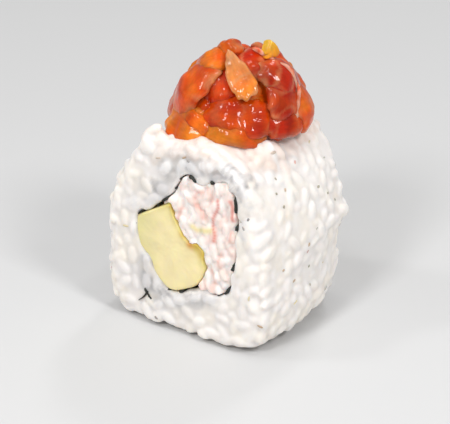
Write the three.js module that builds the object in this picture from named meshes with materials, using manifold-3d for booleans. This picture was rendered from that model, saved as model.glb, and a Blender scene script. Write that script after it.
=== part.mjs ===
// A cut piece of California roll, rice side out, with a heap of dressed salmon on top.
// The piece lies as it is served: the roll's axis runs along Y, one cut face looks along -Y and Z is up.
// Sizes are in millimetres. The origin is at the middle of the base.

import * as THREE from "three";
import { mergeVertices } from "three/addons/utils/BufferGeometryUtils.js";
import Module from "manifold-3d";

const wasm = await Module();
wasm.setup();

// Driving dimensions
const ROLL = { width: 38.6, height: 45, length: 32.4, edgeRound: 2.6 };
const SQUARENESS = { base: 6.5, farTop: 1.7, nearTop: 2.5 };
const UNEVEN = { size: 0.4, waves: 3, topDrop: 1.8, baseDrop: 3.4, barrel: 3 };
const GRAIN = { length: 6.2, width: 3, height: 2.2, seam: 0.2, variation: 0.14 };
const PROUD = { side: 0.85, end: 0.5 };
const GRAIN_COUNT = { side: 184, end: 58 };
const WIDEST = 43;
const BASE_CUT = 0.25;
const BASE_BARE = 3.6;
const FILLING_SET_BACK = 0.15;
const NORI = { thickness: 0.5, samples: 54, turnEnd: 0.845 };
const AVOCADO = { edgeRound: 0.35 };
const CRAB = { shred: 4.6, setBack: 1.5, count: 17 };
const HEAP = { x: 1.7, y: 1.2, foot: 41, radius: 10.6, height: 15 };
const GAP = 0.3;
const SMALLEST = 0.14;
const SEED = 41;

// Seeded random numbers from 0 to 1, so that every build is the same.
function seeded(seed) {
  let state = seed;
  return () => {
    state = (state * 1664525 + 1013904223) % 4294967296;
    return state / 4294967296;
  };
}
const random = seeded(SEED);
const between = (low, high) => low + (high - low) * random();

// A closed three.js geometry as a solid that can be joined and cut.
function solid(geometry) {
  const bare = geometry.clone();
  bare.deleteAttribute("normal");
  bare.deleteAttribute("uv");
  const merged = mergeVertices(bare, 1e-4);
  return new wasm.Manifold(
    new wasm.Mesh({
      numProp: 3,
      vertProperties: new Float32Array(merged.attributes.position.array),
      triVerts: new Uint32Array(merged.index.array),
    }),
  );
}

const join = (solids) => wasm.Manifold.union(solids);

// The largest body of a solid, without needless detail: cutting can leave loose crumbs.
function largest(whole) {
  const plain = whole.asOriginal().simplify(SMALLEST).asOriginal().simplify(SMALLEST);
  const bodies = plain.decompose();
  return bodies.reduce((best, body) => (body.volume() > best.volume() ? body : best));
}

// A named mesh of the scene graph from a solid.
function mesh(name, whole, look) {
  const { vertProperties, triVerts } = whole.getMesh();
  const geometry = new THREE.BufferGeometry();
  geometry.setAttribute("position", new THREE.BufferAttribute(vertProperties, 3));
  geometry.setIndex(new THREE.BufferAttribute(triVerts, 1));
  geometry.computeVertexNormals();
  const made = new THREE.Mesh(geometry, new THREE.MeshStandardMaterial({ metalness: 0, ...look }));
  made.name = name;
  return made;
}

// An outline in the roll's cross-section (X across, Z up), carried along the roll's axis.
function alongRoll(points, length, edgeRound = 0, steps = 1) {
  const geometry = new THREE.ExtrudeGeometry(new THREE.Shape(points), {
    depth: length - 2 * edgeRound,
    steps,
    bevelEnabled: edgeRound > 0,
    bevelThickness: edgeRound,
    bevelSize: edgeRound,
    bevelOffset: -edgeRound,
    bevelSegments: 2,
  });
  geometry.translate(0, 0, edgeRound - length / 2);
  return geometry.rotateX(Math.PI / 2);
}

// The pressed roll's outline: a loaf with a flat base and a domed top, each quarter with its own squareness.
function loafPoint(angle, inset) {
  const across = Math.cos(angle);
  const upward = Math.sin(angle);
  const top = across < 0 ? SQUARENESS.farTop : SQUARENESS.nearTop;
  const power = 2 / (upward < 0 ? SQUARENESS.base : top);
  const half = ROLL.height / 2;
  const reach = upward < 0 ? half + BASE_CUT : half - inset;
  return new THREE.Vector2(
    (ROLL.width / 2 - inset) * Math.sign(across) * Math.abs(across) ** power,
    half + reach * Math.sign(upward) * Math.abs(upward) ** power,
  );
}

function loafOutline(inset, count = 48) {
  return Array.from({ length: count }, (_, i) => loafPoint((i / count) * 2 * Math.PI, inset));
}

// Hand-rolled rice isn't even: a slow wave pushes the surface in and out, less towards the base, the sides
// bulge low down like a barrel's, and the near side's corners fall away towards the back.
function makeUneven(geometry) {
  const place = geometry.attributes.position;
  for (let i = 0; i < place.count; i++) {
    const [x, y, z] = [place.getX(i), place.getY(i), place.getZ(i)];
    const bearing = Math.atan2(z - ROLL.height / 2, x);
    const along = (y / ROLL.length) * Math.PI;
    const wave = Math.sin(UNEVEN.waves * bearing + 1.3) * Math.cos(along + 0.6) + Math.sin(2 * along + bearing);
    const swell = (UNEVEN.size * wave * Math.min(1, z / ROLL.height + 0.3)) / 2;
    const back = 0.5 + y / ROLL.length;
    const drop = bearing < 0 ? UNEVEN.baseDrop * back * back : UNEVEN.topDrop * back;
    const push = swell - drop * Math.abs(Math.sin(2 * bearing)) * Math.max(0, Math.cos(bearing));
    const low = 1 - THREE.MathUtils.clamp(z / ROLL.height, 0, 1) ** 2;
    const bulge = UNEVEN.barrel * low * (1 - (2 * y / ROLL.length) ** 2) * (x / (ROLL.width / 2));
    place.setXYZ(i, x + push * Math.cos(bearing) + bulge, y, z + push * Math.sin(bearing));
  }
  return geometry;
}

// The roll's plain form, set in from its full size by a distance round the side and at the ends.
function loaf(sideInset, endInset) {
  const outline = loafOutline(sideInset, 28);
  return makeUneven(alongRoll(outline, ROLL.length - 2 * endInset, ROLL.edgeRound, 4));
}

// The sheet of nori in the cross-section, from its inner end beside the avocado, once round the
// filling, to the flap that overlaps it on the far side.
const noriPath = new THREE.CatmullRomCurve3(
  [
    [-8.6, 15.2], [-6.2, 11.6], [-3.2, 9.4], [0.6, 10.2], [4.8, 11.6], [8.6, 11.8], [11.4, 13.6],
    [12.0, 17.0], [13.0, 20.6], [13.2, 25.0], [13.6, 30.0], [12.9, 34.6], [10.8, 36.8], [6.4, 36.2],
    [2.6, 36.2], [-0.4, 34.2], [-2.6, 30.8], [-6.8, 27.2], [-10.3, 25.0], [-11.4, 22.0], [-10.7, 17.0],
    [-10.0, 12.0], [-9.4, 8.0], [-7.8, 5.9],
  ].map(([x, z]) => new THREE.Vector3(x, z, 0)),
  false,
  "centripetal",
);

function noriBand(thickness) {
  const centre = noriPath.getSpacedPoints(NORI.samples);
  const sides = [[], []];
  centre.forEach((point, i) => {
    const along = noriPath.getTangentAt(i / NORI.samples);
    const across = new THREE.Vector2(-along.y, along.x).multiplyScalar(thickness / 2);
    sides[0].push(new THREE.Vector2(point.x + across.x, point.y + across.y));
    sides[1].unshift(new THREE.Vector2(point.x - across.x, point.y - across.y));
  });
  return sides.flat();
}

// The filling's outline: one turn of the nori, closed on itself.
function fillingOutline() {
  const count = Math.round(NORI.samples * NORI.turnEnd);
  return Array.from({ length: count + 1 }, (_, i) => {
    const point = noriPath.getPointAt((i / count) * NORI.turnEnd);
    return new THREE.Vector2(point.x, point.y);
  });
}

// A closed outline moved outwards by a distance, point by point.
function grown(points, distance) {
  return points.map((point, i) => {
    const before = points.at(i - 1);
    const after = points[(i + 1) % points.length];
    const along = after.clone().sub(before).normalize();
    return new THREE.Vector2(point.x + along.y * distance, point.y - along.x * distance);
  });
}

function avocadoOutline() {
  const corners = [
    [-10.4, 24.0], [-10.5, 21.6], [-10.0, 17.8], [-7.4, 15.4], [-6.0, 12.9], [-3.1, 10.7], [-1.1, 10.7],
    [3.8, 13.0], [6.0, 17.0], [5.4, 18.9], [5.8, 20.8], [3.8, 22.0], [1.9, 21.4], [0.7, 22.6],
    [-0.9, 25.2], [-2.0, 26.9], [-2.7, 28.9], [-6.8, 26.3],
  ];
  const edge = new THREE.CatmullRomCurve3(
    corners.map(([x, z]) => new THREE.Vector3(x, z, 0)),
    true,
    "centripetal",
  );
  return edge.getSpacedPoints(44).slice(0, -1).map((p) => new THREE.Vector2(p.x, p.y));
}

// Whether a point of the cross-section is inside a closed outline.
function inside(x, z, outline) {
  const crossings = outline.filter((a, i) => {
    const b = outline[(i + 1) % outline.length];
    return a.y > z !== b.y > z && x < ((b.x - a.x) * (z - a.y)) / (b.y - a.y) + a.x;
  });
  return crossings.length % 2 === 1;
}

// A blunt lump of the given length, width and height, lying along X.
function lump(length, width, height) {
  const profile = [[0, -0.5], [0.5, -0.26], [0.5, 0.26], [0, 0.5]];
  const turned = new THREE.LatheGeometry(profile.map(([r, y]) => new THREE.Vector2(r, y)), 6);
  return turned.rotateZ(Math.PI / 2).scale(length, width, height);
}

// Places a piece: its X axis along a direction in the surface, its Z axis along the surface's normal.
function laidOn(geometry, point, normal, along) {
  const across = normal.clone().cross(along).normalize();
  const turn = new THREE.Matrix4().makeBasis(across.clone().cross(normal), across, normal);
  return geometry.applyMatrix4(turn.setPosition(point));
}

// Spreads places evenly: each is the seeded candidate furthest from those already there.
function spreadEvenly(count, draw, tries = 16) {
  const placed = [];
  while (placed.length < count) {
    const candidates = Array.from({ length: tries }, draw);
    const room = (place) => Math.min(...placed.map((other) => other.point.distanceTo(place.point)));
    placed.push(candidates.reduce((best, next) => (room(next) > room(best) ? next : best)));
  }
  return placed;
}

// One grain of rice: a six-sided pillow lying along X.
function grain(size) {
  const [x, y] = [(GRAIN.length * size) / 2, (GRAIN.width * size) / 2];
  const corners = [[x, 0], [x * 0.5, y], [-x * 0.5, y], [-x, 0], [-x * 0.5, -y], [x * 0.5, -y]];
  const rise = (GRAIN.height - GRAIN.seam) / 2;
  const pillow = new THREE.ExtrudeGeometry(new THREE.Shape(corners.map((c) => new THREE.Vector2(...c))), {
    depth: GRAIN.seam,
    bevelThickness: rise,
    bevelSize: y * 0.6,
    bevelOffset: -y * 0.6,
    bevelSegments: 1,
  });
  return pillow.translate(0, 0, -GRAIN.seam / 2);
}

function riceGrain({ point, normal, proud }) {
  const sideways = new THREE.Vector3(between(-1, 1), between(-1, 1), between(-1, 1));
  const along = sideways.addScaledVector(normal, -sideways.dot(normal)).normalize();
  const sunk = point.clone().addScaledVector(normal, proud - GRAIN.height / 2);
  const size = 1 + between(-1, 1) * GRAIN.variation;
  return solid(makeUneven(laidOn(grain(size), sunk, normal, along)));
}

// Places for grains round the roll's side, above the base and clear of the heap's middle.
function sidePlaces() {
  const outline = loafOutline(PROUD.side, 96).map((p) => new THREE.Vector3(p.x, 0, p.y));
  const girth = new THREE.CatmullRomCurve3(outline, true);
  const reach = ROLL.length / 2 - ROLL.edgeRound / 2;
  const draw = () => {
    const turn = between(0, 1);
    const point = girth.getPointAt(turn);
    const along = girth.getTangentAt(turn);
    point.y = between(-reach, reach);
    const underHeap = point.z > HEAP.foot - 3 && Math.hypot(point.x - HEAP.x, point.y - HEAP.y) < HEAP.radius + 2;
    const normal = new THREE.Vector3(along.z, 0, -along.x);
    return point.z < BASE_BARE || underHeap ? draw() : { point, normal, proud: PROUD.side };
  };
  return spreadEvenly(GRAIN_COUNT.side, draw);
}

// Places for grains on a cut face, between the filling and the rounded edge.
function endPlaces(facing) {
  const rim = loafOutline(ROLL.edgeRound * 0.8);
  const hole = grown(fillingOutline(), 1.2);
  const draw = () => {
    const x = between(-ROLL.width / 2, ROLL.width / 2);
    const z = between(BASE_BARE, ROLL.height);
    if (!inside(x, z, rim) || inside(x, z, hole)) return draw();
    const point = new THREE.Vector3(x, facing * (ROLL.length / 2 - PROUD.end), z);
    return { point, normal: new THREE.Vector3(0, facing, 0), proud: PROUD.end };
  };
  return spreadEvenly(GRAIN_COUNT.end, draw);
}

// One flake of salmon: a bent slab with an irregular outline of seven corners, its faces along Z.
function flake(length, width, thickness, bend, reaches) {
  const outline = reaches.map((reach, i) => {
    const angle = (i / reaches.length) * 2 * Math.PI;
    return new THREE.Vector2(length * reach * Math.cos(angle), width * reach * Math.sin(angle));
  });
  const round = thickness * 0.35;
  const slab = new THREE.ExtrudeGeometry(new THREE.Shape(outline), {
    depth: thickness - 2 * round,
    bevelThickness: round,
    bevelSize: round,
    bevelOffset: -round,
    bevelSegments: 1,
  });
  slab.translate(0, 0, round - thickness / 2);
  const place = slab.attributes.position;
  for (let i = 0; i < place.count; i++) {
    const [x, y] = [place.getX(i), place.getY(i)];
    place.setZ(i, place.getZ(i) - (bend * (x * x + 0.5 * y * y)) / length);
  }
  return slab;
}

// The heap's flakes. Bearing (degrees from +X), out and z place a flake's middle from the heap's axis, tilt
// is how far its face looks up, and turn is its long axis in that face, up from level.
const FLAKES = [
  { bearing: -112, out: 12.4, z: 44.9, tilt: 42, turn: -6, length: 13, width: 9.5, thickness: 3, bend: 0.6 },
  { bearing: -98, out: 12, z: 46, tilt: 36, turn: -22, length: 8, width: 3.6, thickness: 2.2, bend: 0.4 },
  { bearing: -60, out: 12, z: 44.9, tilt: 42, turn: -5, length: 15, width: 6.4, thickness: 2.6, bend: 1 },
  { bearing: -54, out: 11, z: 47.7, tilt: 35, turn: 3, length: 15, width: 9.2, thickness: 3, bend: 0.8 },
  { bearing: -49, out: 7.3, z: 55, tilt: 36, turn: -64, length: 11.4, width: 6.8, thickness: 1.9, bend: -0.2 },
  { bearing: -118, out: 10.5, z: 51.5, tilt: 30, turn: 76, length: 15, width: 8.4, thickness: 3, bend: 0.7 },
  { bearing: -112, out: 6.2, z: 56.2, tilt: 45, turn: 60, length: 7, width: 5.4, thickness: 2.6, bend: 0.5 },
  { bearing: -88, out: 6.8, z: 52.4, tilt: 45, turn: -64, length: 9.5, width: 8.4, thickness: 3, bend: 0.3 },
  { bearing: -84, out: 2, z: 57.9, tilt: 20, turn: 50, length: 6.4, width: 4.8, thickness: 4, bend: 0.2 },
  { bearing: -4, out: 5.6, z: 56.6, tilt: 58, turn: -24, length: 11, width: 8, thickness: 2.8, bend: 0.6 },
  { bearing: 6, out: 10.5, z: 53.6, tilt: 34, turn: -50, length: 12, width: 8, thickness: 2.8, bend: 0.7 },
  { bearing: 24, out: 13.4, z: 47.7, tilt: 22, turn: 80, length: 11.5, width: 9, thickness: 2.8, bend: 0.6 },
  { bearing: -5, out: 12.3, z: 46.5, tilt: 34, turn: -10, length: 11, width: 7.2, thickness: 3, bend: 0.6 },
  { bearing: -4, out: 11.6, z: 50.4, tilt: 26, turn: 66, length: 9.5, width: 8, thickness: 2.6, bend: 0.4 },
  { bearing: 66, out: 10, z: 52.6, tilt: 38, turn: 30, length: 14, width: 9.5, thickness: 3, bend: 0.7 },
  { bearing: 70, out: 12, z: 45.8, tilt: 38, turn: 8, length: 15, width: 9, thickness: 2.8, bend: 0.9 },
  { bearing: 112, out: 11.2, z: 48.6, tilt: 34, turn: -40, length: 13, width: 9.5, thickness: 3, bend: 0.6 },
  { bearing: 152, out: 11.8, z: 44.6, tilt: 40, turn: 12, length: 15, width: 9, thickness: 2.8, bend: 0.9 },
  { bearing: 146, out: 7.8, z: 53.2, tilt: 46, turn: 30, length: 13, width: 9, thickness: 2.8, bend: 0.6 },
  { bearing: 196, out: 11.4, z: 47.8, tilt: 34, turn: -36, length: 14, width: 10, thickness: 3, bend: 0.7 },
  { bearing: 12, out: 7.3, z: 58.3, tilt: 30, turn: 60, length: 5.4, width: 4, thickness: 2.4, bend: 0.1 },
];

const flakeReaches = FLAKES.map(() => Array.from({ length: 7 }, () => between(0.43, 0.57)));

function placedFlake(row, reaches, clearance) {
  const [bearing, tilt, turn] = [row.bearing, row.tilt, row.turn].map(THREE.MathUtils.degToRad);
  const more = 2 * clearance;
  const slab = flake(row.length + more, row.width + more, row.thickness + more, row.bend, reaches);
  const level = new THREE.Vector3(-Math.sin(bearing), Math.cos(bearing), 0);
  const outward = new THREE.Vector3(Math.cos(bearing), Math.sin(bearing), 0).multiplyScalar(Math.cos(tilt));
  const normal = outward.setZ(Math.sin(tilt));
  const along = level.applyAxisAngle(normal, turn);
  const [x, y] = [HEAP.x + row.out * Math.cos(bearing), HEAP.y + row.out * Math.sin(bearing)];
  return laidOn(slab, new THREE.Vector3(x, y, row.z), normal, along);
}

function heap(clearance) {
  const dome = new THREE.SphereGeometry(1, 12, 8).rotateX(Math.PI / 2);
  dome.scale(HEAP.radius + clearance, HEAP.radius + clearance, HEAP.height + clearance);
  dome.translate(HEAP.x, HEAP.y, HEAP.foot);
  return join([solid(dome), ...FLAKES.map((row, i) => solid(placedFlake(row, flakeReaches[i], clearance)))]);
}

// The space that the roll keeps to: its full size, with the base flat and the widest grains pressed in.
const bounds = new THREE.BoxGeometry(WIDEST, ROLL.length, 3 * ROLL.height);
const kept = solid(bounds.translate(0, 0, 1.5 * ROLL.height));
const past = ROLL.length + 4;

// Salmon on top, fitted to the bare rice
const bareRice = solid(loaf(PROUD.side, PROUD.end));
const clearOfRice = solid(loaf(PROUD.side - GAP, PROUD.end - GAP));
const salmon = largest(heap(0).subtract(clearOfRice).intersect(kept));
const salmonRoom = heap(GAP);

// A grain that would cross the salmon is turned another way, and left out if it still would.
function clearGrain(place) {
  const ways = Array.from({ length: 4 }, () => riceGrain(place));
  return ways.find((grain) => grain.intersect(salmonRoom).volume() === 0);
}

// Rice: core and grains, less the room for the filling
const noriRoom = solid(alongRoll(noriBand(NORI.thickness + 2 * GAP), past));
const fillingRoom = solid(alongRoll(fillingOutline(), past));
const grains = [...sidePlaces(), ...endPlaces(-1), ...endPlaces(1)].map(clearGrain).filter(Boolean);
const riceWhole = join([bareRice, ...grains]).intersect(kept);
const rice = largest(riceWhole.subtract(join([noriRoom, fillingRoom])));

// Filling: nori, avocado and crab, all as long as the roll
const fillingLength = ROLL.length - 2 * FILLING_SET_BACK;
const nori = solid(alongRoll(noriBand(NORI.thickness), fillingLength));
const avocado = solid(alongRoll(avocadoOutline(), fillingLength, AVOCADO.edgeRound));
const avocadoRoom = solid(alongRoll(grown(avocadoOutline(), GAP), past));

// Ends of the crab shreds on a cut face, between the nori and the avocado.
function crabShreds(facing) {
  const [ring, slice] = [grown(fillingOutline(), -1), grown(avocadoOutline(), 1)];
  const draw = () => {
    const [x, z] = [between(-11, 14), between(9, 37)];
    if (!inside(x, z, ring) || inside(x, z, slice)) return draw();
    return { point: new THREE.Vector3(x, facing * (fillingLength / 2 - CRAB.shred * 0.42), z) };
  };
  return spreadEvenly(CRAB.count, draw).map(({ point }) => {
    const [length, width, height] = [between(0.9, 1.4), between(0.7, 0.85), between(0.6, 0.9)];
    const shred = lump(CRAB.shred * length, CRAB.shred * width, CRAB.shred * height);
    return solid(shred.rotateY(between(0, Math.PI)).translate(point.x, point.y, point.z));
  });
}

const crabCore = solid(alongRoll(fillingOutline(), ROLL.length - 2 * CRAB.setBack));
const crabWhole = join([crabCore, ...crabShreds(-1), ...crabShreds(1)]).intersect(fillingRoom);
const crab = largest(crabWhole.subtract(join([noriRoom, avocadoRoom])).intersect(kept));

const roll = new THREE.Group();
roll.add(
  mesh("rice", rice, { color: 0xf3eee6, roughness: 0.55 }),
  mesh("nori", nori, { color: 0x16190f, roughness: 0.6 }),
  mesh("avocado", avocado, { color: 0xeedf8f, roughness: 0.5 }),
  mesh("crab", crab, { color: 0xf4dcd2, roughness: 0.5 }),
  mesh("salmon", salmon, { color: 0xd8561c, roughness: 0.25 }),
);

export default roll;
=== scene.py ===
"""A cut piece of California roll with glazed salmon on top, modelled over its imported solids."""

from math import cos, exp, hypot, pi, radians, sin, sqrt

import bpy
import numpy as np
from mathutils import Matrix, Vector, noise
from mathutils.bvhtree import BVHTree
from mathutils.geometry import tessellate_polygon
from mathutils.kdtree import KDTree
from numpy.linalg import norm


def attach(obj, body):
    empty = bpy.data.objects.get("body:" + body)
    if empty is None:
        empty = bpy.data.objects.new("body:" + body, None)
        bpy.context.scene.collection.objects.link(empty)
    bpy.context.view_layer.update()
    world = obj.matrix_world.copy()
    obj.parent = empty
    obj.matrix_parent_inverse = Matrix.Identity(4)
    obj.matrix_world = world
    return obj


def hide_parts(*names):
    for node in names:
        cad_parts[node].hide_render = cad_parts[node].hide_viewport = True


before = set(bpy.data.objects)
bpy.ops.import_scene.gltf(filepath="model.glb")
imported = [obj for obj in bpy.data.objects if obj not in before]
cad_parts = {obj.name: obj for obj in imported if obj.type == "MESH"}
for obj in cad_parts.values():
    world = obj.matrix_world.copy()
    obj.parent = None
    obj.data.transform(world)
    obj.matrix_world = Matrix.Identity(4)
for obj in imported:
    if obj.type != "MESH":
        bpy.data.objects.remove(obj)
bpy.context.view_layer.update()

# Sizes in millimetres, as in the solids: X across the near cut face, Y along the roll, Z up
MM = 0.001
ROLL_WIDTH, ROLL_HEIGHT, ROLL_LENGTH = 38.6, 45.0, 32.4
MIDDLE, HALF = ROLL_HEIGHT / 2, ROLL_LENGTH / 2
EDGE_ROUND = 2.6
SQUARENESS = {"base": 6.5, "left_top": 1.7, "right_top": 2.5}
UNEVEN_SIZE, UNEVEN_WAVES, UNEVEN_PHASES, UNEVEN_AT_BASE = 0.4, 3, (1.3, 0.6), 0.3
TOP_DROP, BASE_DROP, BARREL = 1.8, 3.4, 3.0
# Skin that comes lower than this lies on the floor
FLOOR_CONTACT = 0.35
# Local swells and dents of the rice: place, height and reach
SWELLS = [
    ((-8.6, -15.2, 41.2), 3.8, 2.2), ((13.0, -4.0, 41.4), 2.9, 2.7), ((19.0, 14.4, 21.9), 1.4, 1.9),
    ((-2.0, -14.0, 43.5), -1.5, 5.5),
]
# The axis of the salmon heap
HEAP_X, HEAP_Y = 1.7, 1.2

# The camera that the photograph was taken with
CAMERA_AZIMUTH, CAMERA_ELEVATION = 35.76, 26.05
CAMERA_DISTANCE = 474.0
CAMERA_LENS, CAMERA_SENSOR = 185.4, 36
CAMERA_AIM = (-0.47, -0.74)
CAMERA_CLIP = 0.01

# Points on outlines and curves
SPAN_STEPS = 24
LOAF_STEPS, RING_STEPS = 720, 240
TINY = 1e-12

SEED = 7
rng = np.random.default_rng(SEED)


# Curves and points


def unit(v):
    """Vectors at length one, along the last axis."""
    v = np.asarray(v, float)
    return v / np.maximum(norm(v, axis=-1, keepdims=True), TINY)


def signed_power(v, power):
    """Values raised to a power, with the signs they had."""
    return np.sign(v) * np.abs(v) ** power


def mix(a, b, share):
    """Values a share of the way from a to b."""
    share = np.asarray(share, float)[..., None]
    return np.asarray(a) * (1 - share) + np.asarray(b) * share


def spaced(line, count, closed):
    """Evenly spaced points along a line; a closed line ends on its first point."""
    run = np.concatenate([[0], np.cumsum(norm(np.diff(line, axis=0), axis=1))])
    where = np.linspace(0, run[-1], count + 1)[:-1] if closed else np.linspace(0, run[-1], count)
    return np.stack([np.interp(where, run, values) for values in line.T], 1)


def smooth_path(points, count, closed=False):
    """Evenly spaced points on a smooth curve through the given ones."""
    p = np.asarray(points, float)
    n = len(p)
    spans = n if closed else n - 1
    steps = np.linspace(0, spans, spans * SPAN_STEPS + 1)
    k = np.minimum(steps.astype(int), spans - 1)
    t = (steps - k)[:, None]
    wrap = (lambda i: i % n) if closed else (lambda i: np.clip(i, 0, n - 1))
    a, b, c, d = (p[wrap(k + i)] for i in (-1, 0, 1, 2))
    square, cube = 2 * a - 5 * b + 4 * c - d, 3 * b - a - 3 * c + d
    return spaced(0.5 * (2 * b + (c - a) * t + square * t**2 + cube * t**3), count, closed)


def blunted(corners, cut, rounds, count):
    """A closed outline with straight sides and softened corners."""
    p = np.asarray(corners, float)
    for _ in range(rounds):
        q = np.roll(p, -1, 0)
        p = np.stack([p + (q - p) * cut, q + (p - q) * cut], 1).reshape(-1, 2)
    return spaced(np.vstack([p, p[:1]]), count, True)


def inside(points, outline):
    """Which points of the cross-section are inside a closed outline."""
    x, z = points[:, 0:1], points[:, 1:2]
    a, b = outline, np.roll(outline, -1, 0)
    rise = np.where(b[:, 1] == a[:, 1], TINY, b[:, 1] - a[:, 1])
    crosses = (a[:, 1] > z) != (b[:, 1] > z)
    return ((crosses & (x < (b[:, 0] - a[:, 0]) * (z - a[:, 1]) / rise + a[:, 0])).sum(1) % 2) == 1


def held_in(points, outline):
    """Points drawn back to the inside of an outline of the cross-section."""
    flat = points[:, [0, 2]]
    out = ~inside(flat, outline)
    if out.any():
        nearest = norm(flat[out][:, None] - outline[None], axis=2).argmin(1)
        points[np.ix_(np.flatnonzero(out), [0, 2])] = outline[nearest]
    return points


def pressed_back(points, limit, share):
    """Points drawn back by a share of what is past a limit along the roll."""
    over = np.maximum(0, np.abs(points[:, 1]) - limit)
    points[:, 1] -= np.sign(points[:, 1]) * over * share
    return points


def grown(outline, distance):
    """A closed outline moved outwards."""
    after = np.roll(outline, -1, 0)
    along = unit(after - np.roll(outline, 1, 0))
    side = np.sign(np.sum(outline[:, 0] * after[:, 1] - after[:, 0] * outline[:, 1]))
    return outline + side * distance * np.stack([along[:, 1], -along[:, 0]], 1)


def outward(outline):
    """Directions out of the roll, at each point of its outline."""
    along = unit(np.roll(outline, -1, 0) - np.roll(outline, 1, 0))
    side = np.stack([along[:, 1], -along[:, 0]], 1)
    return side * np.sign(np.sum(side * (outline - (0, MIDDLE)), 1))[:, None]


def beside(path):
    """Directions to the left of an open path, at each of its points."""
    along = unit(np.gradient(path, axis=0))
    return np.stack([-along[:, 1], along[:, 0]], 1)


def placed(flat, y):
    """Points of the cross-section, set at a place along the roll."""
    return np.insert(flat, 1, y, axis=1)


def spread(candidates, apart):
    """Indices of candidates that keep apart, first come first kept."""
    kept = []
    for i, point in enumerate(candidates):
        if not kept or np.min(np.sum((candidates[kept] - point) ** 2, 1)) > apart**2:
            kept.append(i)
    return kept


def wobble(points, scale, size, shift=0.0):
    """Smooth noise at each point, for uneven surfaces."""
    offset = Vector((shift, shift, shift))
    return np.array([noise.noise(Vector(p) * scale + offset) for p in points]) * size


def gap_to(flat, line):
    """How far points of the cross-section are from the nearest point of a line."""
    return np.min(norm(flat[:, None] - line[None], axis=2), 1)


def looking(azimuth, elevation, distance, target):
    """The pose of something that looks at a target from an angle."""
    a, e = radians(azimuth), radians(elevation)
    back = Vector((sin(a) * cos(e), -cos(a) * cos(e), sin(e)))
    right = Vector((cos(a), sin(a), 0))
    up = back.cross(right)
    turn = Matrix((right, up, back)).transposed().to_4x4()
    turn.translation = target + back * distance
    return turn


# The roll's outline and what it holds, in the cross-section


def loaf_outline(inset, count):
    """The roll's outline: a flat base and a domed top, each quarter with its own squareness."""
    angle = np.linspace(0, 2 * pi, LOAF_STEPS, endpoint=False)
    c, s = np.cos(angle), np.sin(angle)
    top = np.where(c < 0, SQUARENESS["left_top"], SQUARENESS["right_top"])
    power = 2 / np.where(s < 0, SQUARENESS["base"], top)
    x = (ROLL_WIDTH / 2 - inset) * signed_power(c, power)
    z = MIDDLE + (MIDDLE - inset) * signed_power(s, power)
    return smooth_path(np.stack([x, z], 1), count, closed=True)


def uneven(points):
    """The swell of hand-rolled rice: barrel sides, and right corners that fall away to the back."""
    x, y, z = points[:, 0], points[:, 1], points[:, 2]
    bearing = np.arctan2(z - MIDDLE, x)
    along = y / ROLL_LENGTH * pi
    wave = np.sin(UNEVEN_WAVES * bearing + UNEVEN_PHASES[0]) * np.cos(along + UNEVEN_PHASES[1])
    wave = wave + np.sin(2 * along + bearing)
    back = 0.5 + y / ROLL_LENGTH
    drop = np.where(bearing < 0, BASE_DROP * back**2, TOP_DROP * back)
    push = UNEVEN_SIZE * wave * np.minimum(1, z / ROLL_HEIGHT + UNEVEN_AT_BASE) / 2
    push -= drop * np.abs(np.sin(2 * bearing)) * np.maximum(0, np.cos(bearing))
    low = 1 - np.clip(z / ROLL_HEIGHT, 0, 1) ** 2
    for place, height, reach in SWELLS:
        push += height * np.exp(-np.sum((points - place) ** 2, 1) / reach**2)
    barrel = BARREL * x / (ROLL_WIDTH / 2) * low * (1 - (2 * y / ROLL_LENGTH) ** 2)
    return points + np.stack([push * np.cos(bearing) + barrel, 0 * y, push * np.sin(bearing)], 1)


NORI_POINTS = [
    (-8.6, 15.2), (-6.2, 11.6), (-3.2, 9.4), (0.6, 10.2), (4.8, 11.6), (8.6, 11.8), (11.4, 13.6),
    (12.0, 17.0), (13.0, 20.6), (13.2, 25.0), (13.6, 30.0), (12.9, 34.6), (10.9, 37.0), (7.8, 36.5),
    (4.7, 35.2), (2.6, 36.2), (0.6, 35.8), (-1.0, 33.6), (-2.6, 30.9), (-6.4, 27.4), (-10.3, 25.0),
    (-11.4, 22.0), (-10.7, 17.0), (-10.0, 12.0), (-9.4, 8.0), (-7.8, 5.9),
]
NORI_STEPS = 320
NORI_TURN_END = 0.845
nori_path = smooth_path(NORI_POINTS, NORI_STEPS)
filling = nori_path[: int(NORI_STEPS * NORI_TURN_END)]

AVOCADO_POINTS = [
    (-11.0, 24.3), (-8.4, 25.7), (-4.9, 27.8), (-2.6, 29.3), (-2.0, 26.9), (-0.9, 25.2), (0.7, 22.6),
    (1.9, 21.4), (3.8, 22.0), (5.8, 20.8), (5.4, 18.9), (6.0, 17.0), (3.9, 12.5), (-1.1, 9.9),
    (-3.2, 9.7), (-6.5, 12.4), (-7.4, 15.4), (-10.2, 17.8), (-11.0, 21.6),
]
AVOCADO_CUT, AVOCADO_ROUNDS, AVOCADO_STEPS = 0.16, 2, 150
avocado_outline = blunted(AVOCADO_POINTS, AVOCADO_CUT, AVOCADO_ROUNDS, AVOCADO_STEPS)

# The crab fills the turn of nori from one corner of the avocado to another
CRAB_TOP, CRAB_FOOT = 2, 12
CRAB_INSET, CRAB_CLEAR = 0.12, (0.15, 0.1)


def crab_edge():
    """The crab's outline: along the nori, and back along the avocado."""
    inner = grown(filling, -CRAB_INSET)
    ends = [AVOCADO_POINTS[CRAB_FOOT], AVOCADO_POINTS[CRAB_TOP]]
    low_end, high_end = (norm(inner - p, axis=1).argmin() for p in ends)
    shared = np.array(AVOCADO_POINTS[CRAB_TOP : CRAB_FOOT + 1]) + CRAB_CLEAR
    return np.concatenate([inner[low_end:high_end], shared])


crab_outline = crab_edge()


# Meshes


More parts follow.
